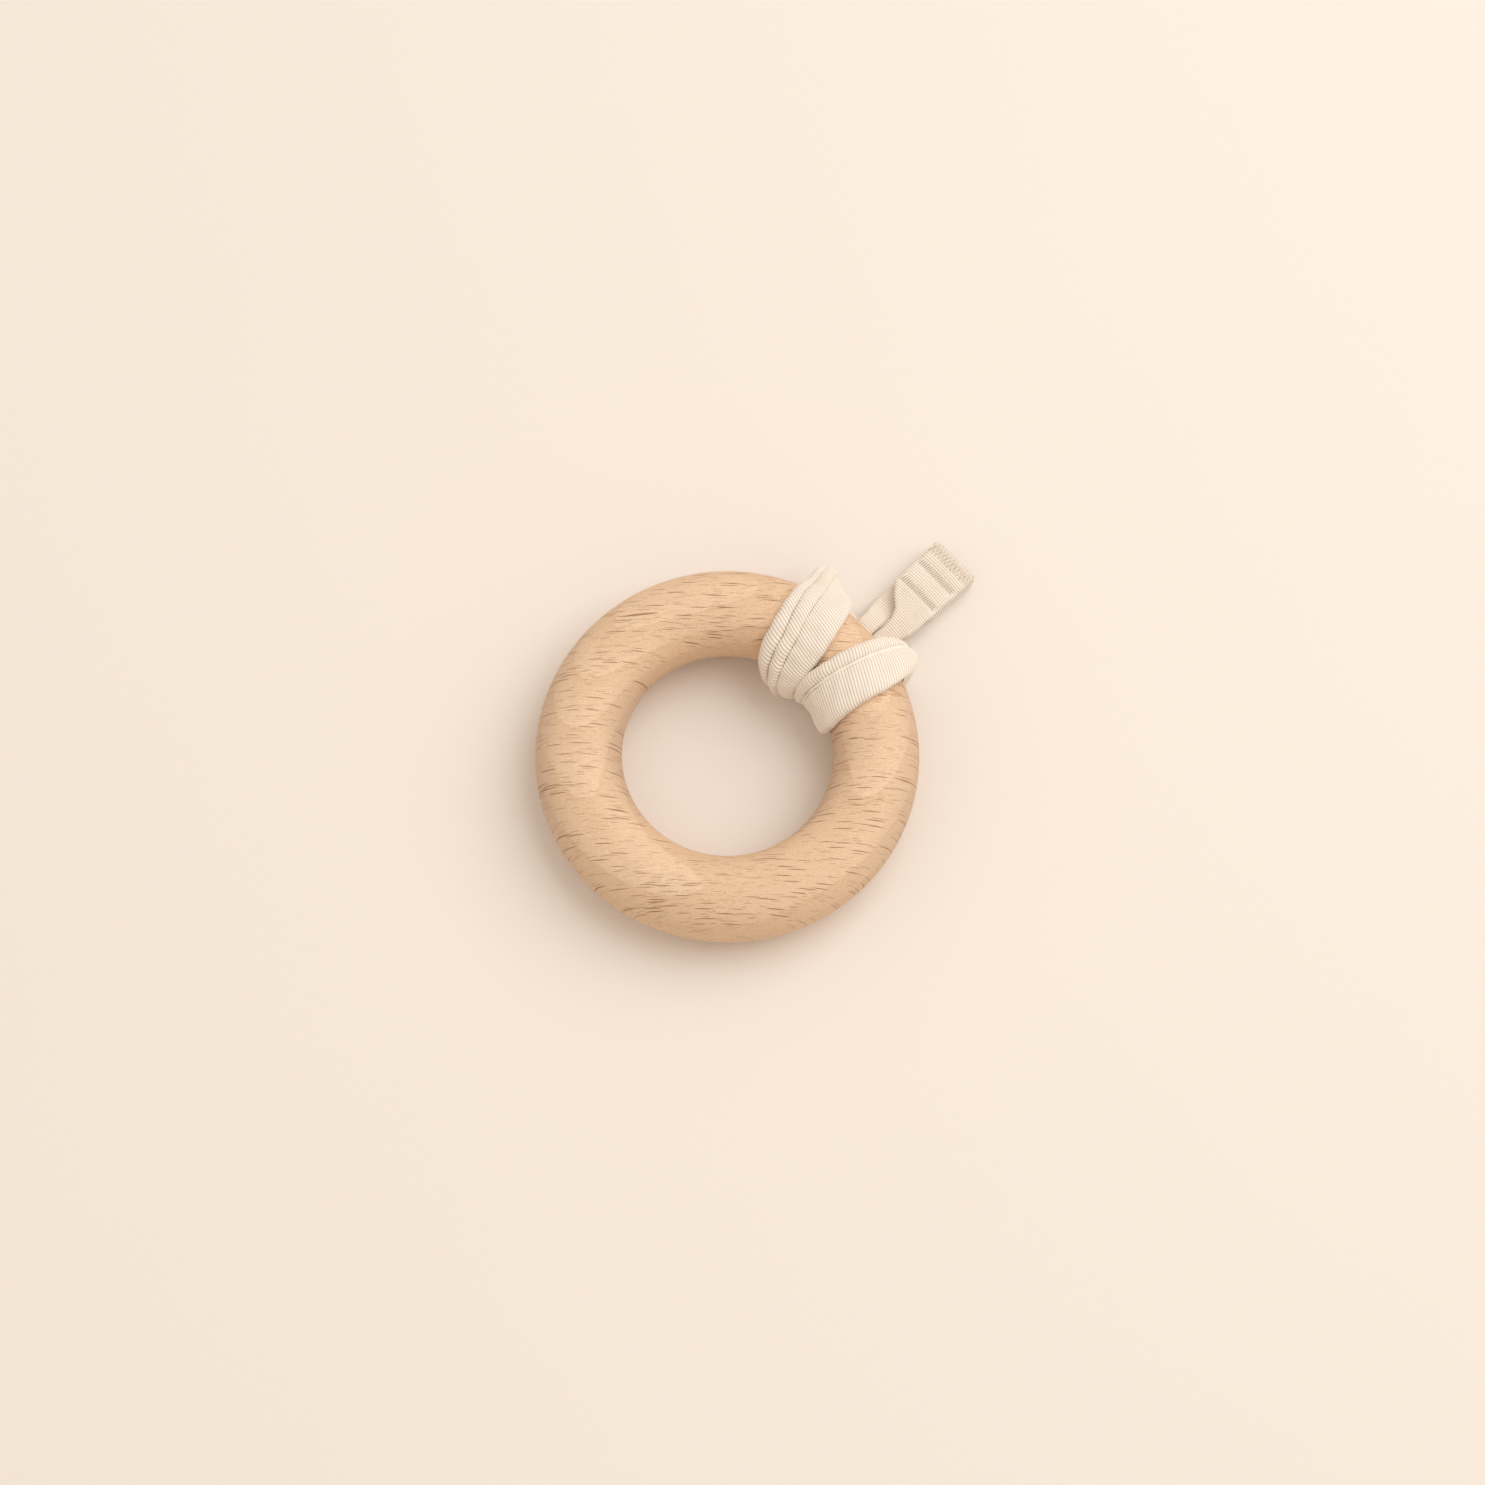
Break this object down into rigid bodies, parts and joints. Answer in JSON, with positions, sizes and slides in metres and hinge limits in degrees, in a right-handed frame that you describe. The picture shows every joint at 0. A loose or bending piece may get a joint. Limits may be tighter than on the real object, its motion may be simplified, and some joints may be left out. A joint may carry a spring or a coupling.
{
  "type": "teething ring",
  "caption": "Round wooden teether with a smooth rounded section, and a ribbed jersey tape hitched round it, whose two ends are sewn together.",
  "frame": {"origin": "centre of the wooden ring, half way through its thickness", "axes": "+Z along the ring's axis, up as it lies on a table; +Y from the centre to the hitch and along the strap's loose end"},
  "size_m": [0.07, 0.0932, 0.0186],
  "materials": {
    "beech": "sanded smooth, unvarnished satin",
    "jersey": "soft matt ribbed cotton jersey",
    "thread": "matt twisted sewing thread"
  },
  "bodies": {
    "ring": {"wooden_ring": "beech"},
    "hitch": {"strap_left_turn": "jersey", "strap_right_turn": "jersey", "strap_crossing_bar": "jersey", "strap_left_run": "jersey", "strap_right_run": "jersey"},
    "loose_end": {"strap_left_end": "jersey", "strap_right_end": "jersey", "bar_tacks": "thread", "end_overlock": "thread"}
  },
  "joints": [
    {"name": "hitch_slide", "type": "hinge", "parent": "ring", "child": "hitch", "pos_m": [0, 0, 0], "axis": [0, 0, 1], "continuous": true},
    {"name": "end_swing", "type": "hinge", "parent": "hitch", "child": "loose_end", "pos_m": [0, 0.03835, -0.00575], "axis": [1, 0, 0], "range_deg": [0, 90]}
  ]
}
